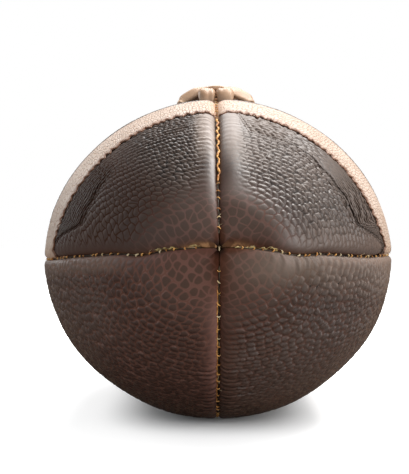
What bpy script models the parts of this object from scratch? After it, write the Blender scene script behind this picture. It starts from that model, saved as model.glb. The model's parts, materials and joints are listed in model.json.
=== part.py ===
"""A deflated leather American football, lying on its belly with the laces up.

Run it with blender --background --python part.py, or from Blender's text editor.
The ball lies along Y with a tip at each end, Z is up and Z = 0 is the floor under it.
Four leather panels are sewn inside out, turned and laced shut over a slack rubber bladder:
each panel's edges roll inwards at the seams and end in a short turned-in flange.
"""

import math

import bmesh
import bpy
from mathutils import Vector

MM = 0.001

# The slack ball: shorter and blunter than a blown-up one, wider than it is high.
HALF_LENGTH = 132 * MM
HALF_WIDTH = 88 * MM
HALF_HEIGHT = 81 * MM
FLAT_DEPTH = 1.8 * MM  # how far the floor presses the belly flat
TIP_LIFT = 6.5 * MM  # the tips stand a little higher than the sagging belly
AXIS_HEIGHT = HALF_HEIGHT - FLAT_DEPTH
LENGTH_POWER = 3.3
TIP_POWER = 1.2
SECTION_POWER = 1.95
LIFT_POWER = 4.0
TIP_RADIUS = 1.2 * MM  # the little hole where the four panels meet

# The sewn leather.
CLEAR = 0.3 * MM
LEATHER = 2.2 * MM
LINING = 1.0 * MM
FACING = 1.5 * MM
FLANGE = 1.6 * MM
SEAM_GAP = 0.8 * MM
FULL_GAP_RADIUS = 10 * MM
LEAST_GAP = 0.35 * MM
LEATHER_SHARE = 0.85  # the leather takes up at most this share of its turn's depth
# The leather's turn into a seam, as depth and width: tight round the belly, soft on the ends.
SIDE_ROLL = (3.2 * MM, 4.2 * MM)
BELLY_ROLLS = {
    "right": SIDE_ROLL,
    "top": (3.6 * MM, 6.2 * MM),
    "left": SIDE_ROLL,
    "bottom": (2.8 * MM, 3.2 * MM),
}
END_ROLL = (5.4 * MM, 8.0 * MM)
ROLL_CHANGE = (56 * MM, 86 * MM)  # where along the ball the one gives way to the other
FULL_ROLL_RADIUS = 26 * MM  # the turns shrink where the ball is thinner than this

# Seams, as angles round the axis from +X, and how far the two side seams wander.
SEAMS = {"right": 0.0, "top": 90.6, "left": 180.0, "bottom": 270.0}
BELLY_LIFTS = {"right": 2.0 * MM, "left": 0.0}  # the right one runs high round the belly
END_LIFT = 0.8 * MM  # both run a little high on the ends
LIFT_CHANGE = (0.47, 0.72)  # where along the half length the one gives way to the other
SIDE_SAG = 1.4 * MM  # a short sag just behind each tip
SAG_AT = 0.885
SAG_SPREAD = 0.035

# Soft dents: angle from +X, place along Y, depth and spread round and along.
DENTS = (
    (146.0, 34 * MM, 9.0 * MM, 24 * MM, 34 * MM),
    (30.0, 52 * MM, 5.0 * MM, 20 * MM, 26 * MM),
    (322.0, 24 * MM, 6.0 * MM, 22 * MM, 38 * MM),
    (212.0, 58 * MM, 4.0 * MM, 20 * MM, 24 * MM),
)

# The cream stripes round the two laced panels, and the seat skived into the leather for them.
STRIPE_NEAR = 56 * MM  # its edge on the laces' side, from the ball's middle
STRIPE_FAR = 78.4 * MM  # its edge on the tip's side, at a side seam
STRIPE_BOW = 4.8 * MM  # how much nearer the tip that edge runs on the rest of the panel
STRIPE_BOW_FULL = 0.7  # height on the section, as a sine, from which the bow is full
STRIPE_PROUD = 0.2 * MM
STRIPE_SEAT = 0.7 * MM

# The lace, one long strip, and its holes.
LACE_HALF_WIDTH = 3.2 * MM
LACE_HALF_THICK = 1.3 * MM
LACE_CORNER = 0.55  # how square the strip's section is
HOLES = 8
HOLE_PITCH = 12 * MM
HOLE_X = 18.5 * MM
HOLE_RADIUS = 2.9 * MM
SQUEEZE = 0.78  # the strip is squeezed to this share in a hole
RUN_X = 4.5 * MM
DIVE_Y = 53 * MM
DIVE_HALF = (8.5 * MM, 2.7 * MM)

# The rubber valve, half way along the upper right panel.
VALVE_ANGLE = 47.0
VALVE_Y = 4 * MM
VALVE_RADIUS = 2.9 * MM
NEEDLE_RADIUS = 0.6 * MM

THREAD_RADIUS = 0.35 * MM
THREAD_DEPTH = 0.6  # as a share of the roll's depth
THREAD_LEAST_RADIUS = 12 * MM
THREAD_LEAST_HEIGHT = THREAD_RADIUS + 0.05 * MM  # the thread stays clear of the floor

FACE_STEPS = (0.0, 0.10, 0.26, 0.42, 0.58, 0.74, 0.90, 1.0)
ROLL_STEPS = (0.0, 45.0)
STEP = 0.2 * MM


# ---- The ball's surface ----


def girth(y):
    """Share of the belly's section that is left at y: 1 in the middle, 0 at a tip."""
    reach = min(abs(y) / HALF_LENGTH, 1.0)
    return (1.0 - reach**LENGTH_POWER) ** (1.0 / TIP_POWER)


def slope(y):
    """Angle between the surface and the ball's axis at y."""
    small = 0.2 * MM
    inner = max(abs(y) - small, 0.0)
    outer = min(abs(y) + small, HALF_LENGTH)
    drop = (girth(inner) - girth(outer)) * 0.5 * (HALF_WIDTH + HALF_HEIGHT)
    return math.atan2(drop, outer - inner)


def axis_height(y):
    return AXIS_HEIGHT + TIP_LIFT * (abs(y) / HALF_LENGTH) ** LIFT_POWER


def dent(angle, y):
    """Depth of the soft dents at an angle in degrees and a place along the ball."""
    total = 0.0
    for at_angle, at_y, deep, spread_round, spread_along in DENTS:
        turn = (angle - at_angle + 180.0) % 360.0 - 180.0
        across = math.radians(turn) * HALF_WIDTH / spread_round
        along = (y - at_y) / spread_along
        total += deep * math.exp(-(across**2) - along**2)
    return total


def section_radius(angle, y):
    """Distance from the axis to the ball's smooth outside, before the seams' rolls."""
    side = abs(math.cos(math.radians(angle))) / HALF_WIDTH
    up = abs(math.sin(math.radians(angle))) / HALF_HEIGHT
    full = (side**SECTION_POWER + up**SECTION_POWER) ** (-1.0 / SECTION_POWER)
    return full * girth(y) - dent(angle, y) * girth(y)


def seam_angle(name, y):
    """Where a seam lies at y, in degrees from +X. The side seams wander up and down a little."""
    angle = SEAMS[name]
    if name in BELLY_LIFTS:
        reach = abs(y) / HALF_LENGTH
        change = ease((reach - LIFT_CHANGE[0]) / (LIFT_CHANGE[1] - LIFT_CHANGE[0]))
        lift = BELLY_LIFTS[name] * (1.0 - change) + END_LIFT * change
        lift -= SIDE_SAG * math.exp(-(((reach - SAG_AT) / SAG_SPREAD) ** 2))
        turn = math.degrees(lift / max(HALF_WIDTH * girth(y), FULL_GAP_RADIUS))
        angle += turn if name == "right" else -turn
    return angle


def settled(point, depth):
    """The floor presses the lowest part of each layer flat."""
    return Vector((point.x, point.y, max(point.z, depth)))


def deeper(y, depth):
    """A layer at this depth under the skin is nearer the middle where the ball closes in."""
    return y - math.copysign(depth * math.sin(slope(y)), y)


def skin_point(angle, y, depth=0.0):
    """Point at a depth under the smooth skin."""
    radius = section_radius(angle, y)
    radius -= min(depth * math.cos(slope(y)), 0.5 * radius)
    turn = math.radians(angle)
    point = Vector((radius * math.cos(turn), deeper(y, depth), radius * math.sin(turn)))
    point.z += axis_height(y)
    return settled(point, depth)


def seam_frame(name, y, into):
    """The seam's outward direction and the direction into the panel, +1 or -1 round the axis."""
    turn = math.radians(seam_angle(name, y))
    out = Vector((math.cos(turn), 0.0, math.sin(turn)))
    return out, into * Vector((-math.sin(turn), 0.0, math.cos(turn)))


def ease(share):
    """A smooth change from 0 to 1, and flat beyond."""
    share = min(max(share, 0.0), 1.0)
    return share * share * (3.0 - 2.0 * share)


def seam_sizes(name, y):
    """Radius of the section, depth and width of the roll, and half the gap between flanges."""
    radius = section_radius(seam_angle(name, y), y)
    change = ease((abs(y) - ROLL_CHANGE[0]) / (ROLL_CHANGE[1] - ROLL_CHANGE[0]))
    shrink = min(1.0, radius / FULL_ROLL_RADIUS)
    deep, wide = (shrink * (a + (b - a) * change) for a, b in zip(BELLY_ROLLS[name], END_ROLL))
    half_gap = 0.5 * max(LEAST_GAP, SEAM_GAP * min(1.0, radius / FULL_GAP_RADIUS))
    return radius, deep, wide, half_gap


def seam_point(name, into, y, depth, roll_turn, sunk=0.0):
    """Point on the roll at a seam: roll_turn is 0 on the flange and 90 at the crest."""
    radius, deep, wide, half_gap = seam_sizes(name, y)
    out, inward = seam_frame(name, y, into)
    leather = min(depth, LEATHER_SHARE * deep)
    turn = math.radians(roll_turn)
    across = half_gap + wide - (wide - leather) * math.cos(turn)
    low = deep - (deep - leather) * math.sin(turn) + sunk
    height = math.sqrt(max(radius**2 - across**2, 0.0)) - low
    point = out * height + inward * across
    point.y = deeper(y, depth)
    point.z += axis_height(y)
    return settled(point, depth)


def crest_angle(name, into, y):
    """Angle at which the roll has turned all the way out into the panel's face."""
    radius, _, wide, half_gap = seam_sizes(name, y)
    away = math.degrees(math.asin((half_gap + wide) / radius))
    return seam_angle(name, y) + into * away


def bowed(angle, y, bow):
    """Moves y towards the tip where a stripe's edge bows: fully at the edge, fading both ways."""
    if not bow:
        return y
    if abs(y) < STRIPE_FAR:
        share = max(abs(y) - STRIPE_NEAR, 0.0) / (STRIPE_FAR - STRIPE_NEAR)
    else:
        share = (TIP_Y - abs(y)) / (TIP_Y - STRIPE_FAR)
    height = abs(math.sin(math.radians(angle)))
    return y + math.copysign(bow * share * ease(height / STRIPE_BOW_FULL), y)


def face_points(seams, y, depth, bow=0.0):
    """Points across a panel's face from one seam's crest to the other's."""
    first = crest_angle(seams[0], 1, bowed(seam_angle(seams[0], y), y, bow))
    last = crest_angle(seams[1], -1, bowed(seam_angle(seams[1], y), y, bow))
    if last < first:
        last += 360.0
    angles = [first + (last - first) * share for share in FACE_STEPS]
    return [skin_point(angle, bowed(angle, y, bow), depth) for angle in angles]


def seam_points(name, into, y, depth, flange):
    """Points from the flange's edge up round the roll, short of the crest."""
    points = [seam_point(name, into, y, depth, turn) for turn in ROLL_STEPS]
    if flange:
        length = FLANGE * min(1.0, seam_sizes(name, y)[1] / SIDE_ROLL[0])
        points.insert(0, seam_point(name, into, y, depth, 0.0, length))
    return points


def panel_section(seams, y, depth, bow=0.0, flange=True):
    """Points across a whole panel: flange, roll, face, roll and flange."""
    ends = [bowed(seam_angle(name, y), y, bow) for name in seams]
    start = seam_points(seams[0], 1, ends[0], depth, flange)
    end = seam_points(seams[1], -1, ends[1], depth, flange)
    return start + face_points(seams, y, depth, bow) + end[::-1]


# ---- Places along the ball ----


def spread(first, last, steps):
    """Places from first to last, even along the curved surface rather than along the axis."""
    fine = [first + (last - first) * i / 400 for i in range(401)]
    run = [0.0]
    for a, b in zip(fine, fine[1:]):
        fall = (girth(a) - girth(b)) * HALF_HEIGHT
        run.append(run[-1] + math.hypot(b - a, fall))
    wanted = [run[-1] * i / steps for i in range(steps + 1)]
    places = []
    at = 0
    for want in wanted:
        while at < 399 and run[at + 1] < want:
            at += 1
        share = (want - run[at]) / (run[at + 1] - run[at])
        places.append(fine[at] + (fine[at + 1] - fine[at]) * min(share, 1.0))
    return places


def reach_of_radius(radius):
    """Distance from the middle at which the ball is this thin."""
    left = (radius / HALF_WIDTH) ** TIP_POWER
    return HALF_LENGTH * (1.0 - left) ** (1.0 / LENGTH_POWER)


TIP_Y = reach_of_radius(TIP_RADIUS)


def both_ends(half):
    """A half list that starts at or past the middle, with its mirror image before it."""
    return [-y for y in reversed(half) if y > 0.0] + half


def plain_rows():
    return both_ends(spread(0.0, STRIPE_NEAR, 3) + spread(STRIPE_NEAR, TIP_Y, 9)[1:])


def striped_rows():
    """The rows of a laced panel, with a small step down to the stripe's seat and up again."""
    near = STRIPE_NEAR - CLEAR
    far = STRIPE_FAR + CLEAR
    half = spread(0.0, near - STEP, 3)
    half += spread(near, far, 2)
    half += spread(far + STEP, TIP_Y, 7)
    return both_ends(half)


def seat_depth(y):
    inside = STRIPE_NEAR - CLEAR - 0.5 * STEP < abs(y) < STRIPE_FAR + CLEAR + 0.5 * STEP
    return STRIPE_SEAT if inside else 0.0


# ---- Building tools ----


def collection(name):
    made = bpy.data.collections.new(name)
    bpy.context.scene.collection.children.link(made)
    return made


def material(name, colour, roughness):
    made = bpy.data.materials.new(name)
    made.use_nodes = True
    shader = made.node_tree.nodes["Principled BSDF"]
    shader.inputs["Base Color"].default_value = (*colour, 1.0)
    shader.inputs["Roughness"].default_value = roughness
    shader.inputs["Metallic"].default_value = 0.0
    return made


def add_object(name, bm, finish, smooth=True):
    """Turns a bmesh into a named object of the ball."""
    bmesh.ops.recalc_face_normals(bm, faces=bm.faces)
    if bm.calc_volume(signed=True) < 0.0:
        bmesh.ops.reverse_faces(bm, faces=bm.faces)
    mesh = bpy.data.meshes.new(name)
    bm.to_mesh(mesh)
    bm.free()
    if smooth:
        mesh.shade_smooth()
        mesh.set_sharp_from_angle(angle=math.radians(50))
    obj = bpy.data.objects.new(name, mesh)
    if finish is not None:
        mesh.materials.append(finish)
    PARTS.objects.link(obj)
    return obj


def shell(name, outer_rows, inner_rows, finish):
    """A sheet of quads placed on outer_rows and thickened until its back lies on inner_rows."""
    bm = bmesh.new()
    rows, columns = len(outer_rows) - 1, len(outer_rows[0]) - 1
    bmesh.ops.create_grid(bm, x_segments=columns, y_segments=rows, size=1.0)
    row_of = bm.verts.layers.int.new("row")
    column_of = bm.verts.layers.int.new("column")
    for vert in bm.verts:
        vert[row_of] = round((vert.co.y + 1.0) * 0.5 * rows)
        vert[column_of] = round((vert.co.x + 1.0) * 0.5 * columns)
        vert.co = outer_rows[vert[row_of]][vert[column_of]]
    made = bmesh.ops.extrude_face_region(bm, geom=bm.faces[:])
    for item in made["geom"]:
        if isinstance(item, bmesh.types.BMVert):
            item.co = inner_rows[item[row_of]][item[column_of]]
    return add_object(name, bm, finish)


def strip(name, path, finish):
    """A flat strip along path, whose points are (place, width direction, size share)."""
    bm = bmesh.new()
    corners = []
    for i in range(6):
        turn = math.radians(60.0 * i)
        across = math.copysign(abs(math.cos(turn)) ** LACE_CORNER, math.cos(turn))
        up = math.copysign(abs(math.sin(turn)) ** LACE_CORNER, math.sin(turn))
        corners.append((across * LACE_HALF_WIDTH, up * LACE_HALF_THICK))
    ring_of = bm.verts.layers.int.new("corner")
    ring = bmesh.ops.create_circle(bm, segments=len(corners), radius=1.0, cap_ends=True)["verts"]
    for i, vert in enumerate(ring):
        vert[ring_of] = i
    edges = bm.edges[:]
    for i, (place, wide, size) in enumerate(path):
        before = path[max(i - 1, 0)][0]
        after = path[min(i + 1, len(path) - 1)][0]
        tangent = (after - before).normalized()
        wide = (wide - wide.dot(tangent) * tangent).normalized()
        thick = tangent.cross(wide)
        if i:
            grown = bmesh.ops.extrude_edge_only(bm, edges=edges)["geom"]
            edges = [e for e in grown if isinstance(e, bmesh.types.BMEdge)]
            ring = [v for v in grown if isinstance(v, bmesh.types.BMVert)]
        for vert in ring:
            across, up = corners[vert[ring_of]]
            vert.co = place + (wide * across + thick * up) * size
    bmesh.ops.contextual_create(bm, geom=edges)
    return add_object(name, bm, finish)


def cutter(name, bm):
    """A solid that only cuts: it isn't part of the ball."""
    obj = add_object(name, bm, None, smooth=False)
    PARTS.objects.unlink(obj)
    CUTTERS.objects.link(obj)
    obj.hide_render = True
    obj.display_type = "WIRE"
    return obj


def cut(obj, tool):
    boolean = obj.modifiers.new(tool.name, "BOOLEAN")
    boolean.operation = "DIFFERENCE"
    boolean.object = tool


# ---- Leather panels and their stripes ----

PANELS = {
    "upper_right": ("right", "top"),
    "upper_left": ("top", "left"),
    "lower_left": ("left", "bottom"),
    "lower_right": ("bottom", "right"),
}


def add_panel(name):
    seams = PANELS[name]
    striped = name.startswith("upper")
    rows = striped_rows() if striped else plain_rows()
    bow = STRIPE_BOW if striped else 0.0
    outer = [panel_section(seams, y, seat_depth(y) if striped else 0.0, bow) for y in rows]
    inner = [panel_section(seams, y, LEATHER, bow) for y in rows]
    return shell("panel_" + name, outer, inner, LEATHER_BROWN)


def add_stripe(name, end):
    """One cream strip, end -1 at the front and +1 at the rear, inlaid in its skived seat."""
    seams = PANELS["upper_" + name]
    places = [end * y for y in spread(STRIPE_NEAR, STRIPE_FAR, 2)]
    depths = (-STRIPE_PROUD, STRIPE_SEAT - CLEAR)
    outer, inner = (
        [panel_section(seams, y, depth, STRIPE_BOW, flange=False) for y in places] for depth in depths
    )
    side = "front" if end < 0 else "rear"
    return shell(f"stripe_{side}_{name}", outer, inner, LEATHER_CREAM)


# ---- Cloth linings and the facings behind the lace holes ----

LINING_DEPTH = LEATHER + 2 * CLEAR
FACING_DEPTH = LINING_DEPTH + LINING + CLEAR
LINING_END = reach_of_radius(16 * MM)
FACING_HALF = 58 * MM
FACING_INNER_SHARE = 0.45  # how far the facing reaches into the face's second facet


def add_lining(name):
    half = spread(0.0, STRIPE_NEAR, 3) + spread(STRIPE_NEAR, LINING_END, 5)[1:]
    rows = both_ends(half)
    seams = PANELS[name]
    outer = [face_points(seams, y, LINING_DEPTH) for y in rows]
    inner = [face_points(seams, y, LINING_DEPTH + LINING) for y in rows]
    return shell("lining_" + name, outer, inner, LINING_CLOTH)


def facing_points(name, y, depth):
    """Three points from the lacing slit outwards, flat against the lining's first two facets."""
    across = face_points(PANELS["upper_" + name], y, depth)
    if name == "right":
        across.reverse()
    far = across[1].lerp(across[2], FACING_INNER_SHARE)
    return [across[0], across[1], far]


def add_facing(name):
    rows = both_ends(spread(0.0, FACING_HALF, 3))
    outer = [facing_points(name, y, FACING_DEPTH) for y in rows]
    inner = [facing_points(name, y, FACING_DEPTH + FACING) for y in rows]
    return shell("lace_facing_" + name, outer, inner, LINING_CLOTH)


# ---- The lace ----

OVER_RUN = CLEAR + LACE_HALF_THICK
OVER_CROSS = OVER_RUN + 2 * LACE_HALF_THICK + CLEAR
UNDER = -(FACING_DEPTH + FACING + 4 * CLEAR + LACE_HALF_THICK)
HOLE_PLACES = [(i - 0.5 * (HOLES - 1)) * HOLE_PITCH for i in range(HOLES)]
HUMP = 3.0 * MM
ARCH = ((0.0, 1.0), (0.36, 0.97), (0.56, 0.84), (0.75, 0.62), (0.90, 0.34))
SLIT_X = HALF_HEIGHT * math.cos(math.radians(SEAMS["top"]))
WIDE_X = Vector((1, 0, 0))
WIDE_Y = Vector((0, 1, 0))


def above(x, y, lift):
    """Point over the laced top, x from the slit and lift above the leather's smooth outside."""
    x += SLIT_X
    share = min(abs(x) / (HALF_WIDTH * girth(y)), 1.0)
    height = (1.0 - share**SECTION_POWER) ** (1.0 / SECTION_POWER)
    return Vector((x, y, axis_height(y) + HALF_HEIGHT * girth(y) * height + lift))


def dive(x, end, wide):
    """From inside, up through the slit's end and over a fat hump, heading for the middle."""
    marks = (
        (-7.0, UNDER, 1.0),
        (-2.6, UNDER, 1.0),
        (-0.7, UNDER + 1.3 * MM, 1.0),
        (0.0, -4.6 * MM, 1.0),
        (-0.1, -0.4 * MM, 1.0),
        (-1.3, 2.0 * MM, 1.2),
        (-3.7, HUMP, 1.3),
    )
    return [(above(x, end * (DIVE_Y + away * MM), lift), wide, size) for away, lift, size in marks]


def top_run(x, end, wide):
    """Along the top of the slit, from one end's dive towards the other's."""
    places = [end * DIVE_Y * share for share in (0.86, 0.58, 0.29, 0.0, -0.29, -0.58, -0.86)]
    return [(above(x, y, OVER_RUN), wide, 1.0) for y in places]


def turn_inside(centre, radius, first, last, steps):
    """A flat turn under the leather, round centre from one angle in degrees to another."""
    points = []
    for i in range(1, steps):
        angle = math.radians(first + (last - first) * i / steps)
        out = Vector((math.cos(angle), math.sin(angle), 0))
        x, y = centre[0] + radius * out.x, centre[1] + radius * out.y
        points.append((above(x, y, UNDER), out * (-1 if last > first else 1), 1.0))
    return points


def hole_pass(side, y):
    """Up through a hole, from inside to outside."""
    marks = ((-3.0, UNDER), (-1.0, UNDER + 0.8 * MM), (-0.1, -4.8 * MM), (0.0, -2.0 * MM), (-0.4, 0.2 * MM))
    points = []
    for away, lift in marks:
        size = 1.0 if away < -2.0 else SQUEEZE
        points.append((above(side * (HOLE_X + away * MM), y, lift), WIDE_Y, size))
    return points


def cross(y):
    """Over the top from the right hole to the left one, across the two long runs."""
    half = [(share * HOLE_X, rise) for share, rise in ARCH]
    arch = [(x, rise) for x, rise in reversed(half)] + [(-x, rise) for x, rise in half[1:]]
    points = []
    for x, rise in arch:
        size = 1.0 if abs(x) < 0.8 * HOLE_X else 0.5 * (1.0 + SQUEEZE)
        points.append((above(x, y, OVER_CROSS * rise), WIDE_Y, size))
    return points


def link(y):
    """Under the leather from a left hole to the next right one."""
    points = []
    for i in range(1, 6):
        share = i / 6
        x = (2 * share - 1) * (HOLE_X - 3 * MM)
        rise = 6 * share * (1 - share) * HOLE_PITCH
        heading = Vector((2 * (HOLE_X - 3 * MM), rise, 0)).normalized()
        wide = Vector((-heading.y, heading.x, 0))
        points.append((above(x, y + HOLE_PITCH * ease(share), UNDER), wide, 1.0))
    return points


def lace_path():
    """The whole strip: out along the left run, back along the right, then hole by hole."""
    rear_turn = DIVE_Y - 7 * MM
    front_turn = 8 * MM
    path = dive(-RUN_X, -1, WIDE_X) + top_run(-RUN_X, -1, WIDE_X)
    path += dive(-RUN_X, 1, WIDE_X)[::-1]
    path += turn_inside((0.0, rear_turn), RUN_X, 180.0, 360.0, 5)
    path += dive(RUN_X, 1, -WIDE_X) + top_run(RUN_X, 1, -WIDE_X)
    path += dive(RUN_X, -1, -WIDE_X)[::-1][:-1]
    corner = (RUN_X + front_turn, HOLE_PLACES[0] - front_turn)
    path += turn_inside(corner, front_turn, 180.0, 90.0, 4)
    for i, y in enumerate(HOLE_PLACES):
        path += hole_pass(1, y) + cross(y) + hole_pass(-1, y)[::-1]
        if i < HOLES - 1:
            path += link(y)
    return path


def lace_cutter():
    """Round holes for the cross strands and an opening at each end of the slit for the long runs."""
    bm = bmesh.new()
    for y in HOLE_PLACES:
        for side in (-1, 1):
            made = bmesh.ops.create_cone(
                bm, cap_ends=True, segments=10, radius1=HOLE_RADIUS, radius2=HOLE_RADIUS, depth=30 * MM
            )
            bmesh.ops.translate(bm, verts=made["verts"], vec=above(side * HOLE_X, y, 0.0))
    for end in (-1, 1):
        made = bmesh.ops.create_cube(bm, size=2.0)
        bmesh.ops.scale(bm, verts=made["verts"], vec=(*DIVE_HALF, 15 * MM))
        bmesh.ops.translate(bm, verts=made["verts"], vec=above(0.0, end * DIVE_Y, 0.0))
    return cutter("lace_cutter", bm)


# ---- The tongue, the slack bladder and its valve ----

TONGUE_DEPTH = -UNDER + LACE_HALF_THICK + CLEAR
TONGUE = 1.2 * MM
TONGUE_HALF = (21 * MM, 60 * MM)
BLADDER_DEPTH = 6.3 * MM
BLADDER_WALL = 0.6 * MM
BLADDER_END = reach_of_radius(30 * MM)
BLADDER_SEAM_DIP = 4.6 * MM
BLADDER_TOP_DIP = TONGUE_DEPTH + TONGUE + 2.2 * MM - BLADDER_DEPTH
BLADDER_ROUND = 24
BLADDER_RINGS = 14


def add_tongue():
    """A flap of thin leather between the lace and the bladder."""
    columns = [TONGUE_HALF[0] * share for share in (-1.0, -0.5, 0.0, 0.5, 1.0)]
    rows = [TONGUE_HALF[1] * share for share in (-1.0, -0.6, -0.2, 0.2, 0.6, 1.0)]
    outer = [[above(x, y, -TONGUE_DEPTH) for x in columns] for y in rows]
    inner = [[above(x, y, -TONGUE_DEPTH - TONGUE) for x in columns] for y in rows]
    return shell("lace_tongue", outer, inner, LEATHER_BROWN)


def fade(value, full, none):
    """1 up to full, 0 from none on, smooth between."""
    return ease((none - abs(value)) / (none - full))


def bladder_depth(angle, y):
    """The bladder hangs clear of the flanges and is pressed down by the tongue and lace."""
    depth = BLADDER_DEPTH
    girth_here = HALF_WIDTH * girth(y)
    for name in SEAMS:
        turn = (angle - seam_angle(name, y) + 180.0) % 360.0 - 180.0
        beside = math.radians(turn) * girth_here
        depth += BLADDER_SEAM_DIP * fade(beside, 7 * MM, 22 * MM)
    turn = (angle - SEAMS["top"] + 180.0) % 360.0 - 180.0
    beside = math.radians(turn) * girth_here
    extra = BLADDER_TOP_DIP - BLADDER_SEAM_DIP * fade(beside, 7 * MM, 22 * MM)
    return depth + extra * fade(beside, 26 * MM, 44 * MM) * fade(y, 68 * MM, 92 * MM)


def add_bladder():
    """A thin rubber skin: a ball of rings, each point placed under the lining, then thickened."""
    bm = bmesh.new()
    bmesh.ops.create_uvsphere(bm, u_segments=BLADDER_ROUND, v_segments=BLADDER_RINGS, radius=1.0)
    rows = both_ends(spread(0.0, BLADDER_END, BLADDER_RINGS // 2 - 1))
    for vert in bm.verts:
        ring = round(math.degrees(math.acos(max(-1.0, min(1.0, vert.co.z)))) * BLADDER_RINGS / 180)
        angle = math.degrees(math.atan2(vert.co.y, vert.co.x))
        if 0 < ring < BLADDER_RINGS:
            y = rows[ring - 1]
            vert.co = skin_point(angle, y, bladder_depth(angle, y))
        else:
            end = 1.0 if ring else -1.0
            y = end * (BLADDER_END + 2 * MM)
            vert.co = Vector((0.0, y, axis_height(y)))
    obj = add_object("bladder", bm, BLADDER_RUBBER)
    wall = obj.modifiers.new("wall", "SOLIDIFY")
    wall.thickness = BLADDER_WALL
    wall.offset = -1.0
    return obj


def valve_axis():
    """The valve's place on the skin and its outward direction."""
    place = skin_point(VALVE_ANGLE, VALVE_Y)
    turn = math.radians(VALVE_ANGLE)
    out = Vector((math.cos(turn) / HALF_WIDTH**2, 0.0, math.sin(turn) / HALF_HEIGHT**2))
    return place, out.normalized()


def add_valve():
    """A moulded plug with a needle hole: stem through the leather, flange and bulb in the bladder."""
    wall_end = -(BLADDER_DEPTH + BLADDER_WALL + 1.8 * MM)
    profile = (
        (NEEDLE_RADIUS, wall_end - 6 * MM),
        (NEEDLE_RADIUS, -0.6 * MM),
        (VALVE_RADIUS - CLEAR, -0.6 * MM),
        (VALVE_RADIUS - CLEAR, wall_end),
        (8 * MM, wall_end),
        (8 * MM, wall_end - 1 * MM),
        (4 * MM, wall_end - 2 * MM),
        (3.5 * MM, wall_end - 9 * MM),
        (0.0, wall_end - 9.5 * MM),
    )
    bm = bmesh.new()
    verts = [bm.verts.new((0.0, 0.0, profile[0][1]))]
    verts += [bm.verts.new((radius, 0.0, height)) for radius, height in profile]
    for a, b in zip(verts, verts[1:]):
        bm.edges.new((a, b))
    mesh = bpy.data.meshes.new("valve")
    bm.to_mesh(mesh)
    bm.free()
    mesh.materials.append(VALVE_BLACK)
    obj = bpy.data.objects.new("valve", mesh)
    PARTS.objects.link(obj)
    turned = obj.modifiers.new("turned", "SCREW")
    turned.steps = turned.render_steps = 16
    turned.use_merge_vertices = True
    turned.merge_threshold = 0.05 * MM
    place, out = valve_axis()
    obj.location = place
    obj.rotation_mode = "QUATERNION"
    obj.rotation_quaternion = out.to_track_quat("Z", "Y")
    return obj


def valve_cutter():
    bm = bmesh.new()
    bmesh.ops.create_cone(
        bm, cap_ends=True, segments=16, radius1=VALVE_RADIUS, radius2=VALVE_RADIUS, depth=30 * MM
    )
    obj = cutter("valve_cutter", bm)
    place, out = valve_axis()
    obj.location = place
    obj.rotation_mode = "QUATERNION"
    obj.rotation_quaternion = out.to_track_quat("Z", "Y")
    return obj


# ---- Seam threads ----


def add_thread(name, seam, first, last):
    """The waxed thread in a seam's groove, as a plain round cord."""
    curve = bpy.data.curves.new(name, "CURVE")
    curve.dimensions = "3D"
    curve.bevel_depth = THREAD_RADIUS
    curve.bevel_resolution = 1
    curve.use_fill_caps = True
    rows = plain_rows()
    places = [first] + [y for y in rows if first + MM < y < last - MM] + [last]
    spline = curve.splines.new("POLY")
    spline.points.add(len(places) - 1)
    for point, y in zip(spline.points, places):
        out, _ = seam_frame(seam, y, 1)
        radius, deep, _, _ = seam_sizes(seam, y)
        place = out * (radius - THREAD_DEPTH * deep)
        place.y = y
        place.z = max(place.z + axis_height(y), THREAD_LEAST_HEIGHT)
        point.co = (*place, 1.0)
    curve.materials.append(THREAD_ORANGE)
    obj = bpy.data.objects.new(name, curve)
    PARTS.objects.link(obj)
    return obj


# ---- The whole ball ----

for old in list(bpy.data.objects):
    bpy.data.objects.remove(old)

PARTS = collection("deflated_football")
CUTTERS = collection("cutters")

LEATHER_BROWN = material("leather_brown", (0.075, 0.045, 0.035), 0.45)
LEATHER_CREAM = material("leather_cream", (0.75, 0.62, 0.50), 0.6)
LACE_CREAM = material("lace_cream", (0.52, 0.40, 0.28), 0.45)
LINING_CLOTH = material("lining_cloth", (0.55, 0.52, 0.45), 0.9)
BLADDER_RUBBER = material("bladder_rubber", (0.35, 0.20, 0.08), 0.5)
VALVE_BLACK = material("valve_black", (0.02, 0.02, 0.02), 0.5)
THREAD_ORANGE = material("thread_orange", (0.50, 0.24, 0.07), 0.7)

holes = lace_cutter()
valve_hole = valve_cutter()

panels = {name: add_panel(name) for name in PANELS}
linings = {name: add_lining(name) for name in PANELS}
for side in ("left", "right"):
    facing = add_facing(side)
    for laced in (panels["upper_" + side], linings["upper_" + side], facing):
        cut(laced, holes)
    for end in (-1, 1):
        add_stripe(side, end)

strip("lace", lace_path(), LACE_CREAM)
add_tongue()
bladder = add_bladder()
add_valve()
for pierced in (panels["upper_right"], linings["upper_right"], bladder):
    cut(pierced, valve_hole)

thread_end = reach_of_radius(THREAD_LEAST_RADIUS)
for seam in ("left", "right", "bottom"):
    add_thread("seam_thread_" + seam, seam, -thread_end, thread_end)
slit_end = STRIPE_NEAR + MM
add_thread("seam_thread_top_front", "top", -thread_end, -slit_end)
add_thread("seam_thread_top_rear", "top", slit_end, thread_end)
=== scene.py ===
import json
import math
from functools import partialmethod

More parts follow.
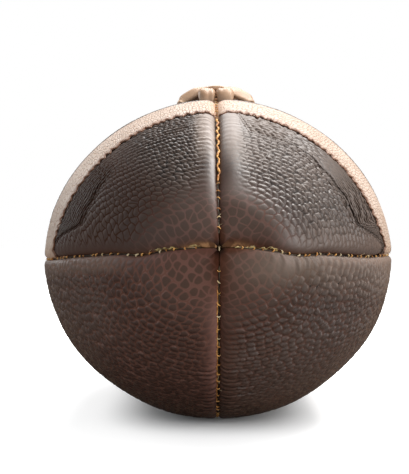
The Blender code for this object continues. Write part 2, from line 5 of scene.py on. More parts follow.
import bpy
import numpy as np
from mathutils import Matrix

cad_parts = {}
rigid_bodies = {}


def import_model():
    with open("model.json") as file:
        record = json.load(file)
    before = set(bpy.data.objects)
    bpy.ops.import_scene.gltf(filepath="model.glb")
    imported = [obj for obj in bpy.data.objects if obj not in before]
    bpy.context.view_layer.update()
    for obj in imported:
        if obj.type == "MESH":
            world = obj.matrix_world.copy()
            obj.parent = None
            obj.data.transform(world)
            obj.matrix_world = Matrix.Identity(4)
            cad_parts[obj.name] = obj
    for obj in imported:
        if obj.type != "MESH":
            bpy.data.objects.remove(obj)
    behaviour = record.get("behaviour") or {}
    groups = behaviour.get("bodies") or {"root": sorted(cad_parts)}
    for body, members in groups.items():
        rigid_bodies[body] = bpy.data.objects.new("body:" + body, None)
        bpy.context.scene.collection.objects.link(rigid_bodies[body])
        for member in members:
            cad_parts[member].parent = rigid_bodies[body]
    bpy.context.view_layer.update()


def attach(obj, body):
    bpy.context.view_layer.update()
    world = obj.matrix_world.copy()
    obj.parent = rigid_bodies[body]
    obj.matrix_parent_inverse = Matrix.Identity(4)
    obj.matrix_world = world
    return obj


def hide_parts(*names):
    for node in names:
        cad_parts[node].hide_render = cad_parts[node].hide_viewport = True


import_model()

MM = 0.001


# ==== The camera ====
# It stands in front of the ball's tip, a little above the ball's axis, and looks straight along it.

scene = bpy.context.scene
camera = bpy.data.objects.new("camera", bpy.data.cameras.new("camera"))
scene.collection.objects.link(camera)
camera.location = (-0.003, -0.45, 0.09)
camera.rotation_euler = (math.pi / 2, 0, math.radians(0.49))
camera.data.sensor_width = 36
camera.data.lens = 62.1
camera.data.clip_start = 0.01
scene.camera = camera


# ==== The four leather panels ====
# Pebbled cowhide, cut as four long leaves and sewn inside out, so that each panel's edges roll
# inwards at the seams and end in a short flange. The ball is slack, so it has settled short,
# wide and blunt, with soft dents and creases.

half_length, half_width, half_height = 132 * MM, 88 * MM, 81 * MM
flat_depth, tip_lift, tip_y = 1.8 * MM, 6.5 * MM, 131.78 * MM
tip_height = half_height - flat_depth + tip_lift
section_power = 1.95
flange = 2 * MM
stripe_near, stripe_far, stripe_bow = 56 * MM, 78.4 * MM, 4.8 * MM
hole_x, hole_pitch = 18.5 * MM, 12 * MM
seams = {"right": 0, "top": 90.6, "left": 180, "bottom": 270}  # degrees round from +X
fullness = {"right": 0.7, "top": 0.85, "left": 0.7, "bottom": 0.85}  # of the leather's roll there
panel_seams = {
    "upper_right": ("right", "top"),
    "upper_left": ("top", "left"),
    "lower_left": ("left", "bottom"),
    "lower_right": ("bottom", "right"),
}


def ease(share):
    """A soft change from 0 to 1 as the share does."""
    share = np.clip(share, 0, 1)
    return share * share * (3 - 2 * share)


def rise(value, start, span):
    """0 as far as the start, then a soft change to 1 over the span."""
    return ease((value - start) / span)


def fall(value, start, span):
    return 1 - rise(value, start, span)


def total(steps):
    """The running total of some steps, from 0."""
    return np.concatenate([[0], np.cumsum(steps)])


def girth(y):
    """Share of the belly's section that is left at y: 1 in the middle, 0 at a tip."""
    return (1 - np.minimum(np.abs(y) / half_length, 1) ** 3.3) ** (1 / 1.2)


def axis_height(y):
    return half_height - flat_depth + tip_lift * (np.abs(y) / half_length) ** 4


def dents(angle, y):
    """Depth of the soft dents: angle and place along the ball, depth and spreads of each."""
    depth = np.zeros(np.broadcast(angle, y).shape)
    for at, along, deep, wide, long in (
        (146, 34 * MM, 9 * MM, 24 * MM, 34 * MM),
        (30, 52 * MM, 5 * MM, 20 * MM, 26 * MM),
        (322, 24 * MM, 6 * MM, 22 * MM, 38 * MM),
        (212, 58 * MM, 4 * MM, 20 * MM, 24 * MM),
    ):
        turn = (angle - at + 180) % 360 - 180
        depth += deep * np.exp(-((np.radians(turn) * half_width / wide) ** 2) - ((y - along) / long) ** 2)
    return depth


def section_radius(angle, y):
    """Distance from the ball's axis to its smooth outside, at an angle in degrees from +X."""
    side = np.abs(np.cos(np.radians(angle))) / half_width
    up = np.abs(np.sin(np.radians(angle))) / half_height
    oval = (side**section_power + up**section_power) ** (-1 / section_power)
    return (oval - dents(angle, y)) * girth(y)


def seam_angle(seam, y):
    """The side seams wander: the right one runs high round the belly, and both sag near a tip."""
    share = np.abs(y) / half_length
    change = rise(share, 0.47, 0.25)
    lift = {"right": 2 * MM}.get(seam, 0) * (1 - change) + 0.8 * MM * change
    lift = lift - 1.4 * MM * np.exp(-(((share - 0.885) / 0.035) ** 2))
    turn = np.degrees(lift / np.maximum(half_width * girth(y), 10 * MM))
    return seams[seam] + turn * {"left": -1, "right": 1}.get(seam, 0)


def seam_roll(seam, y):
    """Radius at a seam, depth and width of the leather's roll there, and half the seam's gap."""
    belly = {"top": (3.6, 6.2), "bottom": (2.8, 3.2)}.get(seam, (3.2, 4.2))
    end = {"top": (5.6, 8), "bottom": (3.8, 7)}.get(seam, (4.6, 8))
    change = rise(np.abs(y), stripe_near, 30 * MM)
    radius = section_radius(seam_angle(seam, y), y)
    shrink = np.minimum(1, radius / (26 * MM))
    deep, wide = (shrink * MM * (a + (b - a) * change) for a, b in zip(belly, end))
    return radius, deep, wide, np.maximum(0.15 * MM, np.minimum(0.25 * MM, radius / 40))


def stripe_shift(angle, y):
    """How much nearer the tip a stripe's outer edge runs away from the side seams."""
    reach = np.abs(y)
    inside = (reach - stripe_near) / (stripe_far - stripe_near)
    share = np.where(reach < stripe_far, inside, (tip_y - reach) / (tip_y - stripe_far))
    height = np.abs(np.sin(np.radians(angle)))
    return np.sign(y) * stripe_bow * np.clip(share, 0, 1) * ease(height / 0.7)


def stripe_edge(angle):
    """How much the stripe's tip-side edge falls back from that line close to the side seams."""
    right = np.exp(-((((angle + 90) % 360 - 90) / 9.5) ** 2))
    left = np.exp(-(((angle - 180) / 8) ** 2))
    return (5.6 * right + 2.2 * left) * MM


def surface(angle, y, sink=0, seam_out=0, low=0):
    """Points on the ball: sunk by some depth into it, and lowered along a seam's own direction."""
    radius = section_radius(angle, y) - sink
    turn, out = np.radians(angle), np.radians(seam_out)
    x = radius * np.cos(turn) - low * np.cos(out)
    z = radius * np.sin(turn) - low * np.sin(out) + axis_height(y)
    return np.stack([x, y + 0 * x, np.maximum(z, 0)], axis=-1)


def along_ball(steps, fine_share):
    """Places along the ball, evenly along its curve but closer together on the front end."""
    y = np.linspace(-tip_y, tip_y, 4001)
    run = total(np.hypot(np.diff(y), np.diff(girth(y) * half_height)))
    pace = 1 + (1 / fine_share - 1) * fall(run, 95 * MM, 45 * MM)
    count = total(0.5 * (pace[1:] + pace[:-1]) * np.diff(run))
    places = np.interp(np.linspace(0, count[-1], steps + 1), count, y)
    return places, np.interp(places, y, run)


def rolled(name, y, turned_in, roll, face):
    """A panel's section from seam to seam: each point's angle, how low it lies and which way that is,
    for so many points turned in, in each roll and over the face."""
    sides = []
    for seam, into in zip(panel_seams[name], (1, -1)):
        middle = seam_angle(seam, y)
        radius, deep, wide, gap = seam_roll(seam, y)
        turn = np.radians(np.linspace(0, 90, roll + 1)[:-1])
        across = gap + wide * (1 - np.cos(turn) ** fullness[seam])
        low = deep * (1 - np.sin(turn) ** fullness[seam])
        down = np.linspace(1, 0, turned_in + 1)[:-1] * flange * np.minimum(1, deep / (3 * MM))
        across = np.concatenate([gap + 0 * down, across], axis=1)
        low = np.concatenate([deep + down, low], axis=1)
        angle = middle + into * np.degrees(np.arcsin(np.minimum(across / radius, 0.95)))
        crest = middle + into * np.degrees(np.arcsin((gap + wide) / radius))
        sides.append((angle, low, middle + 0 * low, crest))
    start, end = sides[0][3], sides[1][3]
    end = np.where(end < start, end + 360, end)
    over = start + (end - start) * np.linspace(0, 1, face + 1)
    wrap = np.where(sides[1][0] < start - 30, 360, 0)
    angle = np.concatenate([sides[0][0], over, (sides[1][0] + wrap)[:, ::-1]], axis=1)
    low, out = (np.concatenate([sides[0][i], 0 * over, sides[1][i][:, ::-1]], axis=1) for i in (1, 2))
    return angle, low, out


def run_along(points):
    """How far along its row each point lies."""
    steps = np.linalg.norm(np.diff(points, axis=-2), axis=-1)
    return np.concatenate([0 * steps[..., :1], np.cumsum(steps, axis=-1)], axis=-1)


def panel_shape(name, rows, oval):
    """A panel's outside as rows of points, with each point's place on the flat leather blank,
    its distance to the nearer seam and its angle round the ball."""
    places, run = along_ball(rows, 0.6)
    y = places[:, None]
    angle, low, out = rolled(name, y, 3, 14, 156)
    bowed = y + 0 * angle
    if name.startswith("upper"):
        bowed = bowed + stripe_shift(angle, bowed)
    points = surface(angle, bowed, 0, out, low)
    across = run_along(points)
    from_seam = np.minimum(across, across[:, -1:] - across) - flange
    slope = np.abs(np.gradient(girth(places) * half_height, run))[:, None]
    turn = np.radians(angle)
    flatter = 1 - np.sqrt(oval * np.cos(turn) ** 2 + np.sin(turn) ** 2)
    early = section_radius(angle, y) / np.maximum(slope, 0.66) * flatter
    along = run[:, None] + early * rise(np.abs(bowed), 15 * MM, 45 * MM) * np.sign(bowed)
    blank_place = np.stack([across - 0.5 * across[:, -1:], along], axis=-1)
    return points, blank_place, from_seam, angle % 360, bowed


def unit(vectors):
    """Directions of length 1."""
    return vectors / np.maximum(np.linalg.norm(vectors, axis=-1, keepdims=True), 1e-12)


def facing_out(points):
    """The direction straight out of a sheet, at each of its points."""
    return unit(np.cross(np.gradient(points, axis=0), np.gradient(points, axis=1)))


def grid(name, points):
    """A grid primitive laid on rows of points."""
    rows, columns = points.shape[:2]
    bpy.ops.mesh.primitive_grid_add(x_subdivisions=columns - 1, y_subdivisions=rows - 1, size=2)
    made = bpy.context.object
    made.name = made.data.name = name
    made.data.vertices.foreach_set("co", points.ravel())
    made.data.update()
    return made


def store(piece, kept):
    """Keeps named values for each vertex, for the relief and the finish."""
    for name, values in kept.items():
        kind, key = ("FLOAT_VECTOR", "vector") if values.ndim == 3 else ("FLOAT", "value")
        layer = piece.data.attributes.new(name, kind, "POINT")
        layer.data.foreach_set(key, values.astype(np.float32).ravel())


def pick(*pieces):
    """Selects some pieces alone, and works on the first."""
    bpy.ops.object.select_all(action="DESELECT")
    for piece in pieces:
        piece.select_set(True)
    bpy.context.view_layer.objects.active = pieces[0]


def select_rim(piece):
    """Selects the open rims of a mesh, in edit mode."""
    pick(piece)
    bpy.ops.object.mode_set(mode="EDIT")
    bpy.ops.mesh.select_mode(type="EDGE")
    bpy.ops.mesh.select_all(action="DESELECT")
    bpy.ops.mesh.select_non_manifold(extend=False, use_wire=False, use_multi_face=False)


def turn_out():
    """Turns all faces outwards, and leaves edit mode."""
    bpy.ops.mesh.select_all(action="SELECT")
    bpy.ops.mesh.normals_make_consistent(inside=False)
    bpy.ops.object.mode_set(mode="OBJECT")


def backed(piece, points, thickness, row_steps, column_steps, margin):
    """Gives a sheet a plain back of larger faces, bridged to it all round its rim."""
    rows = np.rint(np.linspace(margin, points.shape[0] - 1 - margin, row_steps + 1)).astype(int)
    columns = np.rint(np.linspace(0, points.shape[1] - 1, column_steps + 1)).astype(int)
    inner = (points - facing_out(points) * thickness)[np.ix_(rows, columns)]
    back = grid(piece.name + "_back", inner)
    pick(piece, back)
    bpy.ops.object.join()
    select_rim(piece)
    bpy.ops.mesh.bridge_edge_loops()
    turn_out()


class Value:
    """A value that the nodes work out at each point. A sum on it adds a maths node."""

    def __init__(self, tree, socket):
        self.tree, self.socket = tree, socket

    def maths(self, operation, other=0, clamp=False):
        inputs = {0: self, 1: other}
        return result(self.tree, "ShaderNodeMath", inputs, operation=operation, use_clamp=clamp)

    __add__ = partialmethod(maths, "ADD")
    __sub__ = partialmethod(maths, "SUBTRACT")
    __mul__ = partialmethod(maths, "MULTIPLY")


def feed(made, inputs):
    """Gives a node its inputs: plain ones, or values that other nodes work out."""
    for key, given in inputs.items():
        if isinstance(given, Value):
            given.tree.links.new(given.socket, made.inputs[key])
        else:
            made.inputs[key].default_value = given


def result(tree, kind, inputs, out=0, **settings):
    """Adds a node and gives one of its outputs as a value."""
    made = tree.nodes.new(kind)
    for key, setting in settings.items():
        setattr(made, key, setting)
    feed(made, inputs)
    return Value(tree, made.outputs[out])


def step_up(value, low, high, start=0, end=1):
    """A smooth change from start to end as the value goes from low to high."""
    inputs = {"Value": value, "From Min": low, "From Max": high, "To Min": start, "To Max": end}
    return result(value.tree, "ShaderNodeMapRange", inputs, interpolation_type="SMOOTHSTEP")


def pebble_cells(blank, spread):
    """The pebbles' cells on the leather blank: distance to the middle and to the rim of each."""
    inputs = {"Vector": blank, "Scale": 1, "Randomness": spread}
    kind, look = "ShaderNodeTexVoronoi", {"voronoi_dimensions": "2D", "out": "Distance"}
    return [result(blank.tree, kind, inputs, feature=of, **look) for of in ("F1", "DISTANCE_TO_EDGE")]


pebble_spread = 0.68
relief = bpy.data.node_groups.new("pebble_relief", "GeometryNodeTree")
for way_in in ("INPUT", "OUTPUT"):
    relief.interface.new_socket("Geometry", in_out=way_in, socket_type="NodeSocketGeometry")
blank, depth, tip, in_rows = (
    result(relief, "GeometryNodeInputNamedAttribute", {"Name": name}, data_type=kind)
    for name, kind in (("blank", "FLOAT_VECTOR"), ("relief", "FLOAT"), ("tip", "FLOAT"), ("rows", "FLOAT"))
)
middle, rim = pebble_cells(blank, step_up(tip, 0, 1, pebble_spread, 0.48))
dome = middle.maths("POWER", 2) * -1.1
height = step_up(rim, 0, 0.24) * 0.62 + (dome + -0.62)
along = result(relief, "ShaderNodeSeparateXYZ", {0: blank}, out="Y")
phase = (along - 0.5 * pebble_spread) * (2 * math.pi)
between = phase.maths("COSINE") + -1
sunk = height * depth + between * in_rows
facing = result(relief, "GeometryNodeInputNormal", {})
offset = result(relief, "ShaderNodeVectorMath", {0: facing, "Scale": sunk}, operation="SCALE")
source = result(relief, "NodeGroupInput", {})
moved = result(relief, "GeometryNodeSetPosition", {"Geometry": source, "Offset": offset})
feed(relief.nodes.new("NodeGroupOutput"), {0: moved})


def pebbled(piece):
    """Presses the pebbles into the leather, and lets the floor press what lies on it flat."""
    pick(piece)
    modifier = piece.modifiers.new("pebbles", "NODES")
    modifier.node_group = relief
    bpy.ops.object.modifier_apply(modifier=modifier.name)
    flat = np.empty(len(piece.data.vertices) * 3)
    piece.data.vertices.foreach_get("co", flat)
    flat[2::3] = np.maximum(flat[2::3], 0)
    piece.data.vertices.foreach_set("co", flat)
    piece.data.shade_smooth()
    piece.data.update()


def crease_place(angle):
    """Where the laced panels' shoulder crease runs: well inside the stripe, out to it at the seams."""
    off_seam = np.minimum(np.abs((angle + 90) % 180 - 90), np.abs(angle % 180 - seams["top"]))
    return 78.5 * MM + 18 * MM * rise(off_seam, 4, 11)


def attribute(tree, name):
    out = "Vector" if name == "blank" else "Fac"
    return result(tree, "ShaderNodeAttribute", {}, out=out, attribute_name=name)


def mix(share, a, b):
    """One colour turning into another with the share."""
    colours = {key: tint if isinstance(tint, Value) else (*tint, 1) for key, tint in ((6, a), (7, b))}
    return result(share.tree, "ShaderNodeMix", {0: share, **colours}, out=2, data_type="RGBA")


def noise(place, scale, detail=3):
    inputs = {"Vector": place, "Scale": scale, "Detail": detail}
    return result(place.tree, "ShaderNodeTexNoise", inputs, out="Fac")


def bumped(height, strength, distance, invert=False, **more):
    """The direction that a surface faces once a height is pressed into it."""
    inputs = {"Height": height, "Strength": strength, "Distance": distance, **more}
    return result(height.tree, "ShaderNodeBump", inputs, invert=invert)


def new_finish(name):
    """A new material, its node tree, its shader and the place of each point on the piece."""
    made = bpy.data.materials.new(name)
    made.use_nodes = True
    tree = made.node_tree
    return made, tree, tree.nodes["Principled BSDF"], result(tree, "ShaderNodeTexCoord", {}, out="Object")


def dress(piece, finish):
    piece.data.materials.clear()
    piece.data.materials.append(finish)


pebble_leather, tree, shader, place = new_finish("pebbled_leather")
blank, tip, brown, seam, crease, wear, matt = (
    attribute(tree, name) for name in ("blank", "tip", "brown", "seam", "crease", "wear", "matt")
)
blotch, fine, wander = noise(place, 45, 4), noise(place, 900), noise(place, 240)

# The pebbles: round discs and dark web near the tip, and grooves between them further out. The near-black
# colour in the laced panels' grooves is painted shade; on the lower panels the web has a lighter reddish
# colour of its own.
middle, rim = pebble_cells(blank, step_up(tip, 0, 1, pebble_spread, 0.48))
groove = step_up(rim, 0.02, 0.13, 1, 0) * step_up(attribute(tree, "relief"), 0.00003, 0.0002)
round_to = step_up(tip, 0.2, 0.8, 0.5, step_up(brown, 0.5, 1, 0.45, 0.41))
disc_rim = (middle - round_to).maths("DIVIDE", 0.16)
disc = step_up(rim, 0.01, step_up(brown, 0, 1, 0.13, 0.18)) * step_up(disc_rim, 0, 1, 1, 0)
# Web colour: near-black on the laced panels, a painted groove shade; reddish brown on the lower panels.
web_colour_and_groove_shade = mix(brown, (0.013, 0.007, 0.004), (0.145, 0.07, 0.052))
tip_web = mix(brown, (0.125, 0.064, 0.05), (0.185, 0.092, 0.072))
top = mix(step_up(blotch, 0.35, 0.65), (0.034, 0.0165, 0.009), (0.05, 0.026, 0.015))
toned = mix(brown * 0.8, top, (0.029, 0.01, 0.0058))
tip_top = mix(brown, (0.054, 0.036, 0.026), (0.082, 0.052, 0.039))
colour = mix(disc * 0.85, mix(tip, web_colour_and_groove_shade, tip_web), mix(tip, toned, tip_top))

# The seams: reddish beside them, and in the wide band by the bottom seam on the lower right panel that red
# is also painted shade on the roll turned from the light; a painted shade along each lip, so the gap looks
# darker and wider; and a painted shade in the hole where the panels meet.
colour = mix(seam * 0.85, colour, (0.064, 0.02, 0.01))
# Painted shade along the seam's lips, less of it near the tips.
seam_gap_shade = step_up(seam, 0.72, 0.98) * step_up(tip, 0.5, 1, 0.8, 0)
colour = mix(seam_gap_shade, colour, (0.024, 0.01, 0.006))
# Painted shade in the little holes where the four panels meet at the tips.
from_hole = result(tree, "ShaderNodeVectorMath", {0: place, 1: (0, 0, tip_height)}, operation="SUBTRACT")
from_hole = result(tree, "ShaderNodeVectorMath", {0: from_hole, 1: (1, 0, 0.8)}, operation="MULTIPLY")
from_hole = result(tree, "ShaderNodeVectorMath", {0: from_hole}, out="Value", operation="LENGTH")
colour = mix(step_up(from_hole, 0.001, 0.004, 0.9, 0), colour, (0.008, 0.004, 0.003))

# Two broken dark lines along the shoulder crease, and fine dark striations beyond it: painted shade in the
# crease and in the fine wrinkles, which are also bumped into the surface.
from_crease = crease + (wander - 0.5) * 2.4
lines = [
    step_up((from_crease + at).maths("ABSOLUTE"), 0.12, 0.52, deep, 0)
    for at, deep in ((0, 1), (2.3, 0.85))
]
crease_shade_lines = lines[0].maths("MAXIMUM", lines[1]) * attribute(tree, "creased")
crease_shade_lines = crease_shade_lines * step_up(fine, 0.42, 0.54, 0.25, 1)
striae_shade = step_up((crease * 5.2 + noise(place, 130, 0) * 12).maths("SINE"), 0.1, 0.9)
striae_shade = striae_shade * attribute(tree, "streak")

# Marks laid one over another: scuffs, a painted highlight on the lower left's rolls, pale worn leather with
# a painted highlight on the rolls, painted shade in the striations and along the crease, dust, frayed
# fibres, and a painted shade near the laced right panel's tip.
patchy = step_up(blotch, 0.3, 0.7, 0.6, 1)
for share, tint in (
    (attribute(tree, "scuff") * patchy, (0.095, 0.064, 0.044)),
    # Painted highlight on the lower left's rolls, partly worn leather.
    (attribute(tree, "blush") * 0.8, (0.33, 0.165, 0.135)),
    # Pale worn leather, partly a painted highlight on the rolls.
    (wear * 0.82, (0.275, 0.21, 0.172)),
    # Painted shade in the striations and along the crease.
    (striae_shade * 0.8, (0.012, 0.008, 0.006)),
    (crease_shade_lines * 0.9, (0.006, 0.004, 0.003)),
    (attribute(tree, "dust") * step_up(fine, 0.45, 0.62), (0.16, 0.1, 0.065)),
    (attribute(tree, "fray") * step_up(wander, 0.4, 0.56, 0.2, 1), (0.36, 0.19, 0.09)),
    # Painted shade near the laced right panel's tip, where the matt share passes a half.
    (step_up(matt, 0.5, 1, 0, 0.4), (0.012, 0.007, 0.005)),
):
    colour = mix(share, colour, tint)

rough = step_up(blotch, 0.3, 0.7, 0.36, 0.46) + groove * 0.2
rough = rough + matt * 0.35 + crease_shade_lines * 0.4 + striae_shade * 0.3 + wear * 0.16
pores = bumped(fine * 0.35, 0.35, 0.0003)
waves = {"Vector": blank, "Scale": 0.2, "Distortion": 5, "Detail": 2, "Detail Scale": 1.2}
folds = result(tree, "ShaderNodeTexWave", waves, out="Fac", bands_direction="Y")
gathered = folds * attribute(tree, "gather") - striae_shade * 0.8 - crease_shade_lines * 0.35
shiny = step_up(matt, 0, 1, 0.6, 0.15) - brown * 0.26 - step_up(seam, 0.35, 1, 0, 0.3)
shiny = shiny.maths("SUBTRACT", groove * 0.35, clamp=True)
shiny = shiny.maths("SUBTRACT", crease_shade_lines.maths("MAXIMUM", striae_shade) * 0.55, clamp=True)
facing = bumped(gathered, 1, 0.0008, Normal=pores)
feed(shader, {"Base Color": colour, "Roughness": rough, "Normal": facing, "Specular IOR Level": shiny})

slit_x = half_height * math.cos(math.radians(seams["top"]))
cross_places = [(i - 3.5) * hole_pitch for i in range(8)]
lace_holes = [(slit_x + side * hole_x, y, 2 * MM, 3.2 * MM) for y in cross_places for side in (-1, 1)]
lace_holes += [
    (slit_x + x * MM, end * 52.5 * MM, 2.4 * MM, 5 * MM) for end in (-1, 1) for x in (-7, -4, -1, 1, 4, 7)
]
blank_run = np.linspace(-10 * MM, 420 * MM, 2000)

# For each panel: how oval the pebbles' rows run round the tip; how much the cells narrow, shorten
# and, further on, draw out; how deep the pebbles and their rows are pressed; and how far that
# fades on the slack belly and beside the side seams.
panel_looks = {
    "upper_right": (0.85, 0.7, 1.6, 0, 0.52, 0.08, 0, 0.35),
    "upper_left": (0.55, 2.1, 1.2, 0, 0.46, 0.1, 0, 0.4),
    "lower_left": (0.78, 0.5, 1.2, 1.2, 0.78, 0.1, 0.15, 0),
    "lower_right": (0.72, 0.3, 1.4, 0.6, 0.72, 0.44, 0.5, 0),
}

for index, name in enumerate(panel_seams):
    oval, narrow, short, drawn_out, pressed, rows_deep, slack, soft = panel_looks[name]
    upper_right, upper_left, lower_left, lower_right = (name == panel for panel in panel_seams)
    upper = upper_left or upper_right
    points, blank_place, from_seam, angle, y = panel_shape(name, 470, oval)
    reach = np.abs(y)
    front = rise(-y, 60 * MM, 4 * MM)
    from_tip = (tip_y - reach) / (0.62 * MM)  # roughly along the blunt end's slope, in millimetres

    # What sinks below the smooth outside: ripples, the crease, the stripes' seats and the holes.
    ripple = 0.25 * MM * np.sin(blank_place[..., 0] / (9 * MM) + 1.7 * index)
    ripple *= np.sin(blank_place[..., 1] / (13 * MM) + index)
    sink = ripple * ease(from_seam / (8 * MM)) * ease(from_tip / 30)
    off, beyond, lasting = 25 + 0 * y, 0 * y, 0
    high_up = rise(angle, 46, 14) if upper_right else 0 * angle
    if upper:
        crease_y = crease_place(angle)
        off = (reach - crease_y) / MM + 0.6 * np.sin(angle / 2.3) * np.sin(angle / 5.9)
        beyond = np.clip((crease_y - reach) / MM, 0, 25)
        lasting = rise(angle, 138, 14) if upper_left else 1
        deep = 0.3 + (0.2 if upper_left else 0.4 - 0.4 * high_up) * front
        sink += deep * MM * lasting * np.exp(-(((off + 0.9) / 1.4) ** 2))
        edge = stripe_far + stripe_shift(angle, 0 * y + stripe_far) - stripe_edge(angle)
        under_stripe = rise(reach, 60.3 * MM, 0.3 * MM) * fall(reach - edge, 0.2 * MM, 0.4 * MM)
        sink += 0.45 * MM * under_stripe
        for x, along, wide, deep in lace_holes:
            away = np.hypot(points[..., 0] - x, points[..., 1] - along)
            sink = np.maximum(sink, deep * fall(away, wide, 1.4 * MM))
    if upper_right:
        away = np.linalg.norm(points - surface(47, 4 * MM), axis=-1)  # from the valve
        sink = np.maximum(sink, 1.6 * MM * fall(away, 2.4 * MM, 0.6 * MM))
    points -= facing_out(points) * sink[..., None]
    points[..., 2] = np.maximum(points[..., 2], 0)
    piece = grid("leather_" + name, points)

    # The pebbles' cells, in bowed rows: their width and length change away from the tip.
    warped = blank_place + 0.8 * MM * np.sin(blank_place[..., ::-1] / (11 * MM) + 2 * index)
    away = rise(blank_run, 10 * MM, 44 * MM)
    farther = rise(blank_run, 45 * MM, 25 * MM) * (not upper)
    wide_cell = (3.8 - narrow * away + drawn_out * farther) * MM
    long_cell = (3.8 - short * away - 0.4 * farther) * MM
    cells_run = total(np.diff(blank_run) / (0.5 * (long_cell[1:] + long_cell[:-1])))
    cell_u = warped[..., 0] / np.interp(warped[..., 1], blank_run, wide_cell)
    cell_v = np.interp(warped[..., 1], blank_run, cells_run)
    if upper:
        packed = 0.08 if upper_left else 0.04
        cell_v += packed * (25 + np.sign(y) * (25 - beyond))
        cell_u *= 1 - 0.3 * ease(beyond / 6) * front

    # Round each tip the cells turn into even ones, laid the way that the ring outside them runs.
    for end in (-1, 1):
        spot = points[..., ::2] - (0, tip_height)
        from_axis = np.hypot(spot[..., 0], spot[..., 1])
        ring = (from_axis > 18 * MM) & (from_axis < 34 * MM) & (end * y > 90 * MM) & (from_seam > 3 * MM)
        there = np.column_stack([spot[ring], np.ones(ring.sum())])
        fit = np.linalg.lstsq(there, np.column_stack([cell_u[ring], cell_v[ring]]), rcond=None)[0]
        left, _, right = np.linalg.svd(fit[:2])
        even = left @ right / (3.6 * MM)
        centre = there.mean(axis=0)
        plain = (spot - centre[:2]) @ even + centre @ fit
        share = np.where(end * y > 60 * MM, fall(from_axis, 13 * MM, 15 * MM), 0)
        cell_u += share * (plain[..., 0] - cell_u)
        cell_v += share * (plain[..., 1] - cell_v)
    stagger = 0.25 - 0.13 * fall(from_tip, 14, 20)
    cell_u += stagger * np.cos(math.pi * (cell_v - 0.5 * pebble_spread))

    just_beyond = ease(beyond / 2)

    # How deep the pebbles are: worn smooth at the tip and on the rolls, and slacker in places.
    toward_last = blank_place[..., 0] > 0
    by_top = toward_last if upper_right else ~toward_last
    by_bottom = ~toward_last if lower_right else toward_last
    by_side = fall(np.abs(np.sin(np.radians(angle))), 0.2, 0.4)
    belly = fall(reach, 60 * MM, 35 * MM)
    outward = fall(angle, 196, 36) * rise(from_tip, 30, 26) * lower_left
    scuff_x, scuff_z = (points[..., 0] - 29 * MM) / (17 * MM), (points[..., 2] - 78 * MM) / (7.5 * MM)
    scuff = np.exp(-(scuff_x**2) - scuff_z**2) * front * lower_right
    smooth_to = 2.5 * MM + (6 * MM * upper_right + 2 * MM * upper_left) * by_top
    fade_in = 10 * MM + 4 * MM * by_top * upper_right
    least = np.where(by_top & upper, 0, 0.12)
    strength = 0.06 + 0.94 * rise(from_tip, 8, 26)
    strength *= least + (1 - least) * rise(from_seam, smooth_to, fade_in)
    strength = strength * (1 + 0.5 * outward) * (1 - 0.8 * scuff) * (1 - slack * belly)
    thinner = 0.35 * rise(angle, 115, 25) if upper_left else 0
    strength = strength * (1 - soft * by_side * front) * (1 - thinner * front)
    if upper_left:
        bare, nearer_top = 0.15 + 0.35 * rise(angle, 130, 25), 0.6 * fall(angle, 112, 10)
    else:
        bare, nearer_top = 0.85 * np.exp(-(((angle - 38) / 14) ** 2)), 0.4 * rise(angle, 48, 10)
    strength *= 1 - bare * ease(beyond / 3) * front
    strength *= 1 + nearer_top * just_beyond * front

    # Worn places, gathers and dirt, with painted light: the pale band on the seams' rolls is partly worn
    # leather and partly a painted highlight, and some lighter leather is painted light.
    # Duller leather near the tips. Where the share passes a half, near the laced right panel's tip, it also
    # darkens the colour as a painted shade.
    matt = fall(from_tip, 9, 14) * (1 if upper_right else 0.5)
    if upper_left:
        matt = np.maximum(matt, 0.5 * rise(angle, 112, 30) * front)
    streak = just_beyond * front
    streak *= rise(angle, 136, 10) if upper_left else fall(angle, 25, 12)
    # How far the reddish tint reaches from the seams; the wider band by the bottom seam on the lower right
    # panel is painted shade on the roll that faces away from the light.
    red_and_shade_reach = np.where(by_bottom & lower_right, 7 * MM, 3.5 * MM)
    red_and_shade_reach += (1.5 * MM * upper_left + 3.5 * MM * upper_right) * (~by_top)
    band_end = np.where(by_top | by_bottom, 7 * MM, 4 * MM) + 3 * MM * by_top * upper_right
    band_end += 2 * MM * (lower_right or upper_left)
    band_fade = 20 * MM if lower_right else 6 * MM
    roll_band = ease(from_seam / (2 * MM)) * fall(from_seam, band_end, band_fade)
    gather = roll_band * rise(from_tip, 28, 25) * rise(reach, 60 * MM, 15 * MM)
    pale_wear_and_light = 0
    if upper_left:
        wear = gather * by_top * 0.85 * rise(from_seam, 0.5 * MM, 4 * MM)
        pulled_in = 0.27 * by_top
    elif upper_right:
        wear = gather * by_top * 0.64 * rise(from_seam, 1.8 * MM, 6 * MM)
        # A painted highlight beside the side seam, away from the top seam.
        painted_sheen = 0.28 * fall(from_seam, 0, 22 * MM) * rise(from_tip, 14, 10) * (~by_top)
        wear = np.maximum(wear, painted_sheen * rise(from_seam, 1.5 * MM, 5 * MM))
        # Lighter leather on the laced right panel: partly worn, partly painted light from the right and the
        # top.
        pale_wear_and_light = 0.12 + 0.12 * just_beyond * fall(angle, 30, 20) * front
        pale_wear_and_light += 0.2 * rise(angle, 50, 18) * just_beyond * front
        pale_wear_and_light += 0.08 * rise(angle, 58, 18) * rise(reach, 62 * MM, 12 * MM)
        pale_wear_and_light = pale_wear_and_light * rise(from_tip, 24, 14) * rise(from_seam, 2 * MM, 8 * MM)
        pulled_in = 0.07 * by_top
    else:
        # A painted highlight along the rolls beside the side seams, partly worn leather.
        painted_roll_sheen = 0.68 if lower_right else 0.35
        wear = np.maximum(roll_band * (~by_bottom) * painted_roll_sheen * rise(from_tip, 20, 20), 0.42 * scuff)
